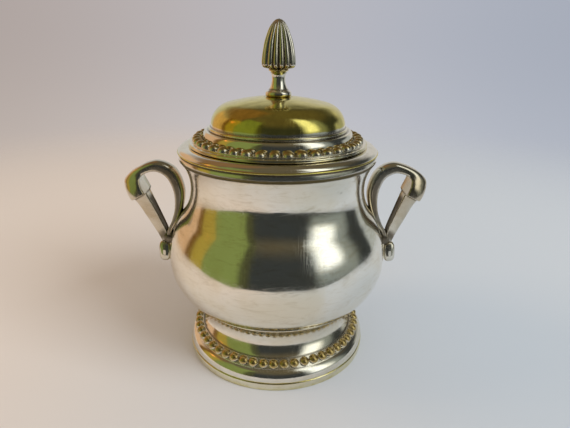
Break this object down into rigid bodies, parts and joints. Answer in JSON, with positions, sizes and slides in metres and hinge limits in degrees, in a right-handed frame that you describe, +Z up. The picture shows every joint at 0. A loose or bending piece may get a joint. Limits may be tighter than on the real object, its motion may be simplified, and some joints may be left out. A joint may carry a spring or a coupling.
{
  "type": "covered sugar bowl",
  "caption": "Silver-plated baluster sugar bowl on a beaded pedestal foot, with two cast loop handles and a lift-off domed lid topped by a fluted bud finial.",
  "frame": {"origin": "centre of the flat face under the foot's base wire, which stands on the table", "axes": "+Z up the bowl's axis towards the finial; +X through the right-hand handle; -Y towards the viewer"},
  "size_m": [0.1281, 0.093, 0.1384],
  "materials": {
    "silver_plate": "polished silver plate, softly tarnished",
    "worn_plate": "silver plate worn thin over brass",
    "worn_brass": "brass showing through worn silver plate",
    "solder": "rough tarnished hard solder",
    "brass_rod": "turned brass, unplated"
  },
  "bodies": {
    "bowl": {"bowl_shell": "silver_plate", "bowl_rim_mount": "silver_plate", "foot_shell": "silver_plate", "foot_solder_seam": "solder", "foot_bead_wire": "worn_brass", "foot_base_wire": "worn_plate", "handle_left": "silver_plate", "handle_right": "silver_plate"},
    "lid": {"lid_shell": "worn_brass", "lid_bead_wire": "worn_brass", "lid_bezel": "silver_plate", "finial_stem": "silver_plate", "finial_bud": "silver_plate", "finial_stud": "brass_rod", "finial_washer": "brass_rod", "finial_nut": "brass_rod"}
  },
  "joints": [
    {"name": "lid_lift", "type": "slide", "parent": "bowl", "child": "lid", "axis": [0, 0, 1], "range_m": [0, 0.09]}
  ]
}
